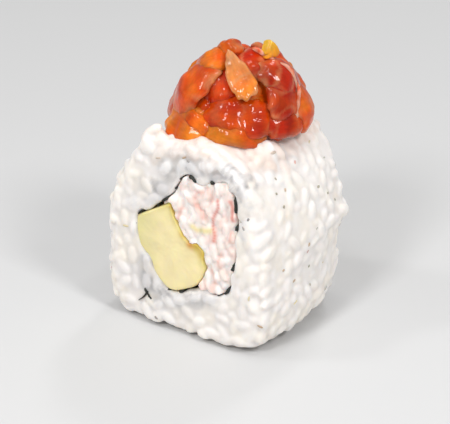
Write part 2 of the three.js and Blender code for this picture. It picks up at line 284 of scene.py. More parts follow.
class Pile:
    """Many small closed pieces gathered into one mesh, with their colours and axes."""

    def __init__(self):
        self.points, self.faces, self.tints, self.axes = [], [], [], []
        self.total = 0

    def add(self, points, faces, tint, axes=np.eye(3)):
        """One more piece, with a colour for all or for each of its points."""
        self.points.append(points)
        self.faces += (np.asarray(faces) + self.total).tolist()
        self.tints.append(np.broadcast_to(np.asarray(tint, float), (len(points), 3)))
        self.axes.append(np.broadcast_to(axes, (len(points), 3, 3)))
        self.total += len(points)

    def make(self, name, material, fibres=False):
        """One mesh; with fibres, each point also gets its place along its own piece's axes."""
        points = np.concatenate(self.points)
        made = make_object(name, points, self.faces, material, np.concatenate(self.tints))
        if fibres:
            lie = np.einsum("nij,nj->ni", np.concatenate(self.axes), points)
            layer = made.data.attributes.new("lie", "FLOAT_VECTOR", "POINT")
            layer.data.foreach_set("vector", lie.ravel())
        return made


def linked(name, data):
    """A new object in the scene."""
    obj = bpy.data.objects.new(name, data)
    bpy.context.collection.objects.link(obj)
    return obj


def make_object(name, points, faces, material, tints=None):
    """A smooth mesh object from points in millimetres."""
    mesh = bpy.data.meshes.new(name)
    mesh.from_pydata((np.asarray(points) * MM).tolist(), [], faces)
    mesh.update()
    mesh.polygons.foreach_set("use_smooth", [True] * len(mesh.polygons))
    if tints is not None:
        layer = mesh.color_attributes.new("tint", "FLOAT_COLOR", "POINT")
        layer.data.foreach_set("color", np.concatenate([tints, np.ones((len(tints), 1))], 1).ravel())
    mesh.materials.append(material)
    return linked(name, mesh)


def eased(values, corners):
    """Values on a mesh's points, each averaged with its neighbours' values."""
    ends = np.concatenate([corners, np.roll(corners, 1, 1)]).ravel()
    others = np.concatenate([np.roll(corners, -1, 1), corners]).ravel()
    count = 1 + np.bincount(ends, minlength=len(values))
    return np.stack([(v + np.bincount(ends, v[others], len(values))) / count for v in values.T], 1)


def outer_shell(points, corners):
    """The largest connected shell of a mesh of quads, without gaps sealed inside it."""
    label, joined = None, np.arange(len(points))
    while label is None or (joined != label).any():
        label = joined
        joined = label.copy()
        np.minimum.at(joined, corners.ravel(), np.repeat(label[corners].min(1), 4))
        joined = joined[joined]
    kept = label == np.bincount(label).argmax()
    place = np.cumsum(kept) - 1
    return points[kept], place[corners[kept[corners[:, 0]]]]


SOFTEN_STEP = 0.5
# How far round a point its creases are measured, and the limits of the painted shade: darker in creases,
# slightly lighter where the skin stands out
CREASE_ROUNDS = 12
CREASE_SHADE = (0.5, 1.03)


def melted(pile, material, voxel, rounds):
    """The skin of a pile whose pieces have run into each other: its points and quads."""
    loose = make_object("loose", np.concatenate(pile.points), pile.faces, material)
    remesh = loose.modifiers.new("melt", "REMESH")
    remesh.mode, remesh.voxel_size = "VOXEL", voxel * MM
    soften = loose.modifiers.new("soften", "SMOOTH")
    soften.factor, soften.iterations = SOFTEN_STEP, rounds
    ready = loose.evaluated_get(bpy.context.evaluated_depsgraph_get())
    mesh = ready.to_mesh()
    skin = np.empty(len(mesh.vertices) * 3)
    mesh.vertices.foreach_get("co", skin)
    corners = np.empty(len(mesh.loops), int)
    mesh.loops.foreach_get("vertex_index", corners)
    ready.to_mesh_clear()
    rough_mesh = loose.data
    bpy.data.objects.remove(loose)
    bpy.data.meshes.remove(rough_mesh)
    return outer_shell(skin.reshape(-1, 3) / MM, corners.reshape(-1, 4))


def standing_out(skin, corners):
    """How far each point of a skin stands out from those around it: below 0 in a crease."""
    around = skin
    for _ in range(CREASE_ROUNDS):
        around = eased(around, corners)
    a, b, c = (skin[corners[:, k]] for k in (0, 1, 2))
    across = np.cross(b - a, c - a)
    normal = [np.bincount(corners.ravel(), np.repeat(n, 4), len(skin)) for n in across.T]
    return np.sum((skin - around) * unit(np.stack(normal, 1)), 1)


def fused(pile, name, material, voxel, rounds, blend, crease, paint=None):
    """A pile melted into one skin that keeps its colours, with painted shade darkening its creases."""
    skin, corners = melted(pile, material, voxel, rounds)
    skin[skin[:, 2] < FLOOR_CONTACT, 2] = 0
    tree = KDTree(pile.total)
    for i, point in enumerate(np.concatenate(pile.points)):
        tree.insert(point, i)
    tree.balance()
    tint = np.concatenate(pile.tints)[[tree.find(point)[1] for point in skin]]
    for _ in range(blend):
        tint = eased(tint, corners)
    # Painted shade: darker in creases, slightly lighter where the skin stands out
    shade = np.clip(1 + crease(skin) * standing_out(skin, corners), *CREASE_SHADE)
    tint = tint * shade[:, None]
    if paint:
        tint = paint(skin, tint)
    return make_object(name, skin, corners.tolist(), material, tint)


def ball(segments, rings):
    """A unit ball's points, and its faces as triangles, poles along X."""
    theta = np.linspace(0, pi, rings + 1)[1:-1]
    phi = np.linspace(0, 2 * pi, segments, endpoint=False)
    t, p = np.repeat(theta, segments), np.tile(phi, rings - 1)
    body = np.stack([np.cos(t), np.sin(t) * np.cos(p), np.sin(t) * np.sin(p)], 1)
    points = np.concatenate([[(1, 0, 0)], body, [(-1, 0, 0)]])
    last = len(points) - 1
    faces = []
    for j in range(segments):
        k = (j + 1) % segments
        faces.append((0, 1 + j, 1 + k))
        for i in range(rings - 2):
            a, b = 1 + i * segments, 1 + (i + 1) * segments
            faces += [(a + j, b + j, b + k), (a + j, b + k, a + k)]
        a = 1 + (rings - 2) * segments
        faces.append((last, a + k, a + j))
    return points, np.array(faces)


def band(a, b, count, closed=True):
    """Triangles between two rows of points that start at a and b."""
    faces = []
    for j in range(count if closed else count - 1):
        k = (j + 1) % count
        faces += [(a + j, a + k, b + k), (a + j, b + k, b + j)]
    return faces


def prism(outline, half):
    """An outline of the cross-section carried along the roll, as triangles."""
    count = len(outline)
    ends = [placed(outline, y) for y in (-half, half)]
    cap = [tuple(t) for t in tessellate_polygon([[Vector((x, z, 0)) for x, z in outline]])]
    far = [(c + count, b + count, a + count) for a, b, c in cap]
    return np.concatenate(ends), np.array(band(0, count, count) + cap + far)


def surface(obj):
    """A mesh's surface, to lay small things on, in millimetres."""
    points = [v.co / MM for v in obj.data.vertices]
    return BVHTree.FromPolygons(points, [tuple(p.vertices) for p in obj.data.polygons])


# Materials

PER_METRE = 1000
MOTTLE_RANGE = (0.35, 0.65)


def wire(tree, node, **inputs):
    """Sets a node's inputs to values, or links them to other nodes' outputs."""
    for name, value in inputs.items():
        socket = node.inputs[name.replace("_", " ")]
        if isinstance(value, bpy.types.NodeSocket):
            tree.links.new(value, socket)
        else:
            socket.default_value = value


def material(name, **inputs):
    """A principled material; returns it with its node tree and shader."""
    made = bpy.data.materials.new(name)
    made.use_nodes = True
    tree = made.node_tree
    shader = tree.nodes["Principled BSDF"]
    wire(tree, shader, **inputs)
    return made, tree, shader


def add_node(tree, kind, output, **inputs):
    """The output of a new node."""
    node = tree.nodes.new("ShaderNode" + kind)
    wire(tree, node, **inputs)
    return node.outputs[output]


def kept_on_points(tree, name, output):
    """Values that are kept on a mesh's points."""
    value = add_node(tree, "Attribute", output)
    value.node.attribute_name = name
    return value


def noise_node(tree, scale, detail=3.0, rough=0.55, place=None):
    """Noise over the object with a scale per metre, or over given places."""
    place = place or add_node(tree, "TexCoord", "Object")
    return add_node(tree, "TexNoise", "Fac", Vector=place, Scale=scale, Detail=detail, Roughness=rough)


def ramp_node(tree, factor, low, high):
    """Noise turned into values from low to high."""
    start, end = MOTTLE_RANGE
    limits = {"From_Min": start, "From_Max": end, "To_Min": low, "To_Max": high}
    return add_node(tree, "MapRange", "Result", Value=factor, **limits)


def multiply_node(tree, color, factor):
    """A colour made darker or lighter by a factor."""
    node = tree.nodes.new("ShaderNodeMix")
    node.data_type, node.blend_type = "RGBA", "MULTIPLY"
    wire(tree, node, Factor=1.0, A=color, B=factor)
    return node.outputs["Result"]


def bump(tree, height, strength, distance):
    """The normal of fine relief, with a distance in millimetres."""
    return add_node(tree, "Bump", "Normal", Height=height, Strength=strength, Distance=distance * MM)


def food(name, grain, shade, rough, relief, **inputs):
    """A moist food: point tints, mottled at a grain in millimetres, with uneven gloss and fine relief."""
    made, tree, shader = material(name, **inputs)
    mottle = noise_node(tree, PER_METRE / grain)
    color = multiply_node(tree, kept_on_points(tree, "tint", "Color"), ramp_node(tree, mottle, shade, 1.0))
    gloss = ramp_node(tree, noise_node(tree, 0.4 * PER_METRE / grain, 2.0), *rough)
    normal = bump(tree, noise_node(tree, 2.5 * PER_METRE / grain, 4.0), *relief)
    wire(tree, shader, Base_Color=color, Roughness=gloss, Normal=normal)
    return made


def fish(name, **inputs):
    """Glazed fish: point tints with fibres along each flake, under a wet film that wrinkles with them."""
    made, tree, shader = material(name, **inputs)
    lie = kept_on_points(tree, "lie", "Vector")
    drawn_out = add_node(tree, "Mapping", "Vector", Vector=lie, Scale=(0.16, 1.0, 1.0))
    fibre = noise_node(tree, 1.5, 3.0, 0.6, drawn_out)
    patch = noise_node(tree, 220, 3.0)
    tint = kept_on_points(tree, "tint", "Color")
    color = multiply_node(tree, tint, ramp_node(tree, fibre, 0.86, 1.04))
    color = multiply_node(tree, color, ramp_node(tree, patch, 0.70, 1.06))
    normal = bump(tree, fibre, 0.12, 0.3)
    wire(tree, shader, Base_Color=color, Normal=normal, Coat_Normal=normal)
    return made


rice_look = food(
    "cooked_rice", 3.0, 0.95, (0.36, 0.55), (0.25, 0.05),
    Subsurface_Weight=0.7, Subsurface_Radius=(1.0, 0.88, 0.76), Subsurface_Scale=1.1 * MM, IOR=1.36,
)
speck_look = food("rice_specks", 1.0, 0.8, (0.4, 0.6), (0.2, 0.03))
nori_look = food("seaweed", 1.2, 0.55, (0.35, 0.6), (0.6, 0.06))
avocado_look = food(
    "avocado_flesh", 5.0, 0.93, (0.38, 0.55), (0.25, 0.06),
    Subsurface_Weight=0.5, Subsurface_Radius=(1.0, 0.7, 0.25), Subsurface_Scale=1.2 * MM, IOR=1.4,
)
crab_look = food(
    "crab_shreds", 2.0, 0.93, (0.3, 0.5), (0.35, 0.06),
    Subsurface_Weight=0.6, Subsurface_Radius=(1.0, 0.6, 0.5), Subsurface_Scale=1.0 * MM, IOR=1.38,
)
salmon_look = fish(
    "glazed_salmon", Roughness=0.35, Specular_IOR_Level=0.05, IOR=1.42,
    Coat_Weight=0.75, Coat_Roughness=0.05, Coat_IOR=1.37,
    Subsurface_Weight=0.3, Subsurface_Radius=(1.0, 0.3, 0.1), Subsurface_Scale=1.4 * MM,
)

# Colours, as linear light
RICE = (0.87, 0.83, 0.80)
RICE_COOL = (0.82, 0.80, 0.79)
RICE_CLEAR = (0.45, 0.44, 0.45)
RICE_PINK_SHADED = (0.77, 0.61, 0.53)
RICE_CREAM = (0.88, 0.80, 0.66)
NORI = (0.012, 0.015, 0.010)
AVOCADO = (0.885, 0.765, 0.43)
AVOCADO_GREEN = (0.76, 0.69, 0.36)
AVOCADO_EDGE = (0.62, 0.50, 0.10)
CRAB = (0.92, 0.80, 0.74)
CRAB_WHITE = (0.92, 0.87, 0.84)
CRAB_PINK = (0.82, 0.46, 0.38)
CRAB_RED = (0.70, 0.20, 0.15)
CRAB_YELLOW = (0.86, 0.74, 0.36)
SALMON_DEEP = (0.42, 0.015, 0.0005)
SALMON = (0.66, 0.070, 0.001)
SALMON_LIGHT = (0.79, 0.22, 0.012)
SALMON_PALE = (0.64, 0.27, 0.11)
MEMBRANE = (0.76, 0.40, 0.28)
YELLOW = (0.75, 0.42, 0.03)


# Nori

# Stretches that show on the near face, as shares of the path, with thickness. The rest is covered.
NORI_SHOWS = [
    (0.076, 0.090, 0.25), (0.106, 0.130, 0.40), (0.212, 0.226, 0.60), (0.232, 0.262, 0.50),
    (0.296, 0.327, 0.50), (0.393, 0.416, 0.50), (0.434, 0.478, 0.45), (0.491, 0.503, 0.35),
    (0.532, 0.553, 1.10), (0.581, 0.613, 0.75), (0.624, 0.641, 0.40), (0.657, 0.671, 0.45),
    (0.690, 0.722, 0.40), (0.729, 0.742, 0.45), (0.772, 0.802, 0.45), (0.815, 0.828, 0.40),
    (0.888, 0.899, 0.30), (0.917, 0.928, 0.35), (0.966, 1.050, 0.40),
]
NORI_FADE = 0.012
NORI_FINE, NORI_LENGTH = 280, 94
# Thickness where it is covered, its depth behind each face, and how much deeper it lies where covered
NORI_THIN = 0.08
NORI_NEAR, NORI_NEAR_SUNK = 0.12, 2.6
NORI_FAR, NORI_FAR_SUNK = 0.35, 1.0
NORI_FORK = [(-8.7, 7.4), (-9.6, 6.0), (-10.9, 4.8)]
FORK_STEPS, FORK_THICK, FORK_DEPTHS = 14, (0.4, 0.15), (0.1, 4)
# Rows along the roll, and how much thinner a sheet is at its ends
SHEET_SHARES, SHEET_SLIM = (0.0, 0.02, 0.5, 0.98, 1.0), 0.6


def showing(share):
    """How many fades each share of the nori's path is inside a stretch that shows, and its thickness."""
    depth = np.array([np.minimum(share - start, end - share) for start, end, _ in NORI_SHOWS]) / NORI_FADE
    thickness = np.array([thick for _, _, thick in NORI_SHOWS])
    return depth.max(0), thickness[depth.argmax(0)]


def sheet(path, thick, front, back):
    """A sheet along a path of the cross-section, with its thickness and its ends in Y."""
    n = len(path)
    across = beside(path) * thick[:, None] / 2
    rows = []
    for side in (-1, 1):
        for share in SHEET_SHARES[::side]:
            slim = SHEET_SLIM if share in (0.0, 1.0) else 1.0
            rows.append(placed(path + side * slim * across, front + (back - front) * share))
    faces = []
    for r in range(len(rows)):
        faces += band(r * n, (r + 1) % len(rows) * n, n, closed=False)
    ring = [r * n for r in range(len(rows))]
    for r in range(1, len(rows) - 1):
        faces.append((ring[0], ring[r], ring[r + 1]))
        faces.append((ring[0] + n - 1, ring[r + 1] + n - 1, ring[r] + n - 1))
    return np.concatenate(rows), np.array(faces)


def make_nori():
    """The sheet on its spiral, torn at its edges, with a second end that forks off by the flap."""
    pile = Pile()
    path = smooth_path(NORI_POINTS, NORI_FINE)
    share = np.linspace(0, 1, NORI_FINE)
    line = np.stack([share * NORI_LENGTH, 0 * share, 0 * share], 1)
    path = path + beside(path) * wobble(line, 0.35, 0.3)[:, None]
    depth, body = showing(share)
    near = np.clip(depth + 0.4, 0, 1)
    far = np.clip(0.6 + 3 * wobble(line, 0.14, 1.0, 30), 0, 1)
    ragged = np.clip(1 + wobble(line, 0.4, 0.7, 11) + wobble(line, 1.3, 0.7, 5), 0.5, 1.4)
    thick = NORI_THIN + near * body * ragged
    front = -HALF + NORI_NEAR + NORI_NEAR_SUNK * (1 - near) + np.abs(wobble(line, 0.9, 0.4, 17))
    back = HALF - NORI_FAR - NORI_FAR_SUNK * (1 - far) - np.abs(wobble(line, 0.9, 0.5, 23))
    points, faces = sheet(path, thick, front, back)
    pile.add(points, faces, NORI)
    front, back = (np.full(FORK_STEPS, -HALF + depth) for depth in FORK_DEPTHS)
    fork = smooth_path(NORI_FORK, FORK_STEPS)
    points, faces = sheet(fork, np.linspace(*FORK_THICK, FORK_STEPS), front, back)
    pile.add(points, faces, NORI)
    return pile.make("nori_sheet", nori_look)


# Rice: a core with grains packed all over it

GRAIN_SPACING = 2.2
# How far grains lie inside the side, the rounded edges and the cut faces
GRAIN_INSET, EDGE_INSET, FACE_DEPTH = 0.45, 0.35, 0.3
# Ranges of a grain's length, width and height
GRAIN_SIZES = ((3.6, 5.8), (2.1, 2.9), (1.8, 2.3))
GRAIN_BLUNT, GRAIN_BEND, GRAIN_SAG, GRAIN_TILT = 0.85, 0.035, (0.01, 0.05), 0.1
# How far grains stand out, with a slow wave, and how much lower they lie by the nori
PROUD, PROUD_WAVE, PROUD_SCALE = (-0.1, 0.5), 0.4, 0.24
NORI_DIP, NORI_DIP_REACH = 0.25, 2
GLASSY_DIP = 0.3
# Grains this near to the nori lie along it
ALONG_NORI, ALONG_SPREAD = 3, 0.25
# What stands out by more than this is pressed flat by a share, less for grains laid on the near face
PRESSED, PRESS, FACE_PRESS = 0.1, 0.6, 0.2
FACE_LIMIT, FACE_SQUASH, FACE_INSET = HALF - 0.12, 0.8, 0.9
# How far a normal looks along the roll on a cut face, and at least on its rounded edge
ON_FACE, ON_EDGE = 0.9, 0.4
TO_NEAR = np.array((0.0, -1.0, 0.0))
SIDE_DRAWS, FACE_DRAWS, FACE_REACH = 18000, 9000, 20
RIM_INSET, FILLING_CLEAR, NORI_CLEAR = EDGE_ROUND * 0.75, 1.3, 1.25
RICE_VOXEL, RICE_ROUNDS, RICE_BLEND = 0.36, 4, 1
# Grains over the nori: shares of its path, how far outside it, and how covered it has to be
COVER_SHARES, COVER_OUT, COVERED = (0.02, 0.9, 0.024), (0.7, 1.0), 0.55
# The core's rings from its end to its middle, with how far each is drawn in
CORE_GAP, CORE_END = 0.2, HALF - 0.55
CORE_RINGS = [(CORE_END, 2.2), (CORE_END - 0.5, 0.9), (CORE_END - 2.2, 0.0), (9.0, 0.0), (4.5, 0.0)]
FILLING_MIDDLE = np.array((1.6, 22.6))

# Places on the cut faces where the grains are glassy, and how far that reaches
GLASSY = np.array([
    (-2.2, 35.8), (0.1, 38.2), (2.5, 37.8), (6.0, 39.4), (7.9, 38.6), (11.0, 39.8), (14.8, 36.7),
    (15.5, 35.6), (-5.1, 30.5), (-6.7, 28.2), (-8.6, 14.8), (-9.1, 11.3), (-7.5, 10.4), (-7.1, 7.9),
    (-4.6, 8.3), (-1.0, 8.3), (2.2, 9.7), (5.4, 11.4),
])
GLASSY_REACH, GLASSY_DEPTH = 2.6, 2.5
# The far face has the same glassy places, but is less glassy
FAR_GLASSY = 0.4
# How much painted shade darkens the creases, and how much more among glassy grains
RICE_CREASE_SHADE, GLASSY_CREASE_SHADE = 0.6, 2.4
CREAM_MOST, GLASSY_ALL, GLASSY_STEPS = 0.45, 0.08, (0.4, 0.65, 0.9)
# Rice painted pinker and darker near the heap's foot, the darkening as painted shade: distance from the
# heap's axis, its fade, its strength, and from what height
PINK_REACH, PINK_FADE, PINK_MOST, PINK_FROM = 20, 6, 0.6, 38

# Glassy grains laid on the near cut face: place, slant in degrees and how glassy
FACE_GRAINS = [
    (5.9, 39.3, 10, 0.0), (0.1, 37.8, 65, 0.3), (-3.9, 36.4, 50, 0.1), (3.2, 38.0, -30, 0.8),
    (10.7, 39.5, -30, 0.3), (13.7, 39.2, 75, 0.0), (15.4, 35.6, -75, 0.8), (-4.6, 31.6, 40, 0.9),
    (-7.2, 28.9, 35, 0.6), (-8.7, 14.2, 80, 0.6), (-8.9, 10.4, 85, 0.9), (-6.4, 9.5, 70, 0.3),
    (-3.7, 6.7, -20, 0.1), (-0.8, 7.7, 15, 0.2), (3.0, 9.6, 25, 0.2), (-6.3, 4.8, 40, 0.3),
    (-4.2, 3.1, -25, 0.1), (-11.8, 27.2, 40, 0.4), (15.6, 28.6, 80, 0.3), (6.6, 10.2, 10, 0.5),
]
LAID_PROUD, LAID_GREY = 0.3, 0.5

girth = loaf_outline(GRAIN_INSET, LOAF_STEPS)
facing = outward(girth)
grain_shape, grain_faces = ball(10, 8)
grain_shape[:, 0] = signed_power(grain_shape[:, 0], GRAIN_BLUNT)


def loaf_surface(turn, y):
    """Points and normals of the rounded side, at shares of the girth and places along the roll."""
    i = (turn * LOAF_STEPS).astype(int) % LOAF_STEPS
    past = np.clip((np.abs(y) - (HALF - EDGE_INSET - EDGE_ROUND)) / EDGE_ROUND, 0, 1)
    lean = np.arcsin(past)
    draw_in = EDGE_ROUND * (1 - np.cos(lean))
    side = facing[i]
    normals = placed(side * np.cos(lean)[:, None], np.sign(y) * np.sin(lean))
    return placed(girth[i] - side * draw_in[:, None], y), unit(normals)


def face_rim(inset, end):
    """The outline of the near (-1) or far (1) cut face, moved inwards."""
    return uneven(placed(loaf_outline(inset, RING_STEPS), end * HALF))[:, ::2]


face_rims = {end: face_rim(FACE_INSET, end) for end in (-1, 1)}


def rice_core():
    """The rice between the outline and the filling, as a ring carried along the roll."""
    count = RING_STEPS
    outer = loaf_outline(GRAIN_INSET + CORE_GAP, count)
    hole = smooth_path(np.vstack([filling, filling[:1]]), count)[:-1] - FILLING_MIDDLE
    bearing = np.arctan2(*(outer - FILLING_MIDDLE).T[::-1])
    hole_bearing = np.arctan2(*hole.T[::-1])
    order = np.argsort(hole_bearing)
    hole_reach = norm(hole, axis=1)[order]
    reach = np.interp(bearing, hole_bearing[order], hole_reach, period=2 * pi) + CORE_GAP
    inner = FILLING_MIDDLE + np.stack([np.cos(bearing), np.sin(bearing)], 1) * reach[:, None]
    rows = []
    near_half = [(-y, draw_in) for y, draw_in in CORE_RINGS]
    for y, draw_in in near_half + [(0.0, 0.0)] + CORE_RINGS[::-1]:
        ring = outer - outward(outer) * draw_in
        rows.append(uneven(placed(ring, y)))
    rows += [placed(inner, y) for y in (CORE_END, -CORE_END)]
    faces = []
    for r in range(len(rows)):
        faces += band(r * count, (r + 1) % len(rows) * count, count)
    return np.concatenate(rows), np.array(faces)


def face_places():
    """Places and normals on both cut faces, round the filling and clear of the nori."""
    x = rng.uniform(-FACE_REACH, FACE_REACH, FACE_DRAWS)
    flat = np.stack([x, rng.uniform(0, ROLL_HEIGHT, FACE_DRAWS)], 1)
    end = np.where(rng.random(FACE_DRAWS) < 0.5, -1.0, 1.0)
    kept = np.zeros(FACE_DRAWS, bool)
    for side in (-1, 1):
        kept |= (end == side) & inside(flat, face_rim(RIM_INSET, side))
    kept &= ~inside(flat, grown(filling, FILLING_CLEAR))
    kept &= gap_to(flat, nori_path[::3]) > NORI_CLEAR
    flat, end = flat[kept], end[kept]
    return placed(flat, end * (HALF - FACE_DEPTH)), placed(0 * flat, end)


def grain_places():
    """Where grains lie on the side and both cut faces, with their normals."""
    side, side_normal = loaf_surface(rng.random(SIDE_DRAWS), rng.uniform(-HALF, HALF, SIDE_DRAWS))
    face, face_normal = face_places()
    points, normals = np.concatenate([uneven(side), face]), np.concatenate([side_normal, face_normal])
    order = rng.permutation(len(points))
    kept = order[spread(points[order], GRAIN_SPACING)]
    return points[kept], normals[kept]


def nori_covers():
    """Grains that press over the nori where it doesn't show, as places and normals."""
    at = np.arange(*COVER_SHARES)
    at = at[showing(at)[0] < -COVERED]
    i = (at * (NORI_STEPS - 1)).astype(int)
    flat = nori_path[i] - beside(nori_path)[i] * rng.uniform(*COVER_OUT, (len(i), 1))
    return placed(flat, -HALF + FACE_DEPTH), np.tile(TO_NEAR, (len(i), 1))


def glassiness(points):
    """How far points are among the glassy grains of the cut faces, 0 to 1."""
    near = gap_to(points[:, ::2], GLASSY)
    face = np.where(points[:, 1] < 0, 1.0, FAR_GLASSY) * (np.abs(points[:, 1]) > HALF - GLASSY_DEPTH)
    return np.exp(-((near / GLASSY_REACH) ** 2)) * face


def rice_crease_shade(points):
    """How much painted shade darkens the gaps between grains: most among the glassy ones."""
    return RICE_CREASE_SHADE + GLASSY_CREASE_SHADE * glassiness(points)


def rice_tint(place, glassy):
    """One grain's colour: white or cream, glassy grey by the nori, and painted pinker and darker near the
    heap's foot, the darkening as painted shade.
    """
    tint = mix(RICE, RICE_CREAM, CREAM_MOST * rng.random() ** 2)
    glassy = GLASSY_ALL * rng.random() + rng.choice(GLASSY_STEPS) * glassy
    foot = hypot(place[0] - HEAP_X, place[1] - HEAP_Y)
    # Painted shade with a pink tint, on the top of the roll near the heap's foot
    pink = np.clip((PINK_REACH - foot) / PINK_FADE, 0, PINK_MOST) * (place[2] > PINK_FROM)
    return mix(mix(tint, RICE_CLEAR, glassy), RICE_PINK_SHADED, pink * rng.uniform(0.6, 1))


def laid_grain(place, normal, lie, proud, press):
    """One grain's points: it lies along a direction, stands proud of its place and is pressed flat."""
    size = np.array([rng.uniform(*limits) for limits in GRAIN_SIZES])
    grain = grain_shape * size / 2
    grain[:, 1] += GRAIN_BEND * rng.uniform(-1, 1) * grain[:, 0] ** 2
    grain[:, 2] -= rng.uniform(*GRAIN_SAG) * grain[:, 0] ** 2
    tilted = unit(normal + rng.normal(0, GRAIN_TILT, 3))
    across = unit(np.cross(tilted, lie))
    turn = np.stack([np.cross(across, tilted), across, tilted])
    points = grain @ turn + place - normal * (size[2] / 2 - proud)
    lift = (points - place) @ normal
    points -= np.outer(np.maximum(0, lift - PRESSED) * press, normal)
    points = pressed_back(points, FACE_LIMIT, FACE_SQUASH)
    if abs(normal[1]) > ON_FACE:
        points = held_in(points, face_rims[int(np.sign(normal[1]))])
    return points


def drawn_grain(place, normal):
    """A grain at a place, with what is drawn for it: its points and its colour."""
    on_face = abs(normal[1]) > ON_FACE
    gaps = norm(nori_path - place[[0, 2]], axis=1)
    near, i = gaps.min(), gaps.argmin()
    lie = rng.normal(0, 1, 3)
    if on_face and near < ALONG_NORI:
        step = nori_path[min(i + 1, NORI_STEPS - 1)] - nori_path[max(i - 1, 0)]
        lie = unit(np.array((step[0], 0, step[1]))) + rng.normal(0, ALONG_SPREAD, 3)
    proud = rng.uniform(*PROUD) + PROUD_WAVE * noise.noise(Vector(place) * PROUD_SCALE)
    proud -= NORI_DIP * exp(-near / NORI_DIP_REACH) if on_face else 0
    glassy = glassiness(place[None])[0] if abs(normal[1]) > ON_EDGE else 0.0
    tint = rice_tint(place, glassy)
    return laid_grain(place, normal, lie, proud - GLASSY_DIP * glassy, PRESS), tint


def make_rice():
    """The core with its grains, melted into one skin."""
    pile = Pile()
    core, core_faces = rice_core()
    pile.add(core, core_faces, RICE)
    places, normals = (np.concatenate(pair) for pair in zip(grain_places(), nori_covers()))
    for place, normal in zip(places, normals):
        points, tint = drawn_grain(place, normal)
        pile.add(points, grain_faces, tint)
    for x, z, slant, glassy in FACE_GRAINS:
        lie = np.array((cos(radians(slant)), 0, sin(radians(slant))))
        place = np.array((x, -HALF + FACE_DEPTH, z))
        points = laid_grain(place, TO_NEAR, lie, LAID_PROUD, FACE_PRESS)
        pile.add(points, grain_faces, mix(RICE_COOL, RICE_CLEAR, glassy * LAID_GREY))
    return fused(pile, "rice_grains", rice_look, RICE_VOXEL, RICE_ROUNDS, RICE_BLEND, rice_crease_shade)


# Seasoning and crumbs that cling to the rice

SPECK_TINTS = {
    "tan": (0.50, 0.30, 0.13), "dark": (0.035, 0.03, 0.02), "olive": (0.34, 0.31, 0.20),
    "pink": (0.75, 0.32, 0.25), "yellow": (0.72, 0.55, 0.16),
}
# Those in view: X and Z on the near face, or Y and Z on a plane at the right, then length and colour
FACE_SPECKS = [
    (-5.2, 38.5, 1.3, "tan"), (1.2, 40.3, 1.2, "tan"), (2.2, 39.8, 0.8, "dark"),
    (-13.7, 21.1, 1.5, "yellow"), (-6.3, 2.2, 0.9, "dark"), (-2.5, 1.5, 0.6, "olive"),
]
SIDE_SPECKS = [
    (-12.3, 45.2, 1.5, "tan"), (-4.8, 40.3, 0.7, "pink"), (-11.6, 39.2, 0.7, "olive"),
    (-11.3, 35.8, 0.6, "olive"), (-8.3, 35.5, 0.7, "tan"), (6.9, 28.9, 0.6, "olive"),
    (9.6, 26.4, 0.7, "olive"), (3.0, 22.6, 0.6, "olive"), (0.2, 20.1, 1.1, "tan"),
    (-0.3, 18.7, 0.8, "pink"), (0.3, 15.2, 0.6, "olive"), (-8.8, 18.0, 0.7, "tan"),
    (-5.0, 14.1, 1.1, "tan"), (-4.4, 9.0, 1.2, "yellow"), (-20.5, 16.5, 1.2, "yellow"),
    (-16.7, 8.7, 1.4, "tan"), (0.8, 10.8, 0.6, "olive"), (-22.5, 32.7, 0.9, "dark"),
    (-23.5, 34.7, 0.8, "olive"), (-20.9, 34.0, 0.6, "dark"), (-8.8, 32.0, 0.6, "olive"),
]
SIDE_PLANE = 20
# Those out of view: how many, ranges of bearing, height and length, and colours
FAR_SPECKS, SPECK_BEARINGS, SPECK_HEIGHTS, SPECK_LENGTHS = 34, (1.75, 5.4), (4, 40), (0.5, 1.3)
SPECK_DRAWS = ("tan", "olive", "olive", "yellow", "pink")
SPECK_WIDTHS, SPECK_THICK, SPECK_FADES = (0.4, 0.75), 0.2, (0.15, 0.6)
SPECK_START = 60
# The heap covers the rice above this height and within this reach of its axis
HEAP_FOOT, HEAP_REACH = 43.5, 14


def speck_rays():
    """Where each speck is dropped from and which way, with its length and colour."""
    sight = looking(CAMERA_AZIMUTH, CAMERA_ELEVATION, 1, Vector((0, 0, 0))).to_3x3() @ Vector((0, 0, 1))
    seen = [((x, -HALF, z), length, key) for x, z, length, key in FACE_SPECKS]
    seen += [((SIDE_PLANE, y, z), length, key) for y, z, length, key in SIDE_SPECKS]
    rays = [(Vector(place) + sight * SPECK_START, -sight, length, key) for place, length, key in seen]
    for _ in range(FAR_SPECKS):
        turn, rise = rng.uniform(*SPECK_BEARINGS), rng.uniform(*SPECK_HEIGHTS)
        out = Vector((sin(turn), -cos(turn), 0.0))
        key = SPECK_DRAWS[rng.integers(len(SPECK_DRAWS))]
        rays.append((Vector((0, 0, rise)) + out * SPECK_START, -out, rng.uniform(*SPECK_LENGTHS), key))
    return rays


def make_specks(tree):
    """Flat specks laid on the rice: those in view, and a seeded draw elsewhere."""
    pile = Pile()
    shape, shape_faces = ball(8, 6)
    for start, way, length, key in speck_rays():
        hit, normal, _, _ = tree.ray_cast(start, way)
        if hit is None or hit.z > HEAP_FOOT and hypot(hit.x - HEAP_X, hit.y - HEAP_Y) < HEAP_REACH:
            continue
        along = unit(np.cross(normal, rng.normal(0, 1, 3)))
        turn = np.stack([along, np.cross(normal, along), np.array(normal)])
        size = np.array((length, rng.uniform(*SPECK_WIDTHS), SPECK_THICK)) / 2
        speck = shape * size + wobble(shape, 1.5, 0.1, length)[:, None] * shape
        tint = mix(SPECK_TINTS[key], RICE, rng.uniform(*SPECK_FADES))
        pile.add(speck @ turn + np.array(hit), shape_faces, tint)
    return pile.make("rice_specks", speck_look)


# Avocado

AVOCADO_HALF = HALF - 0.15
# Rings of a cut end as shares of the outline, then the softened edge, and rows along the sides
AVOCADO_RINGS = (0.02, 0.94, 18)
AVOCADO_SOFT, AVOCADO_REACH = 0.35, 12
AVOCADO_ROWS, AVOCADO_IN = 9, 2
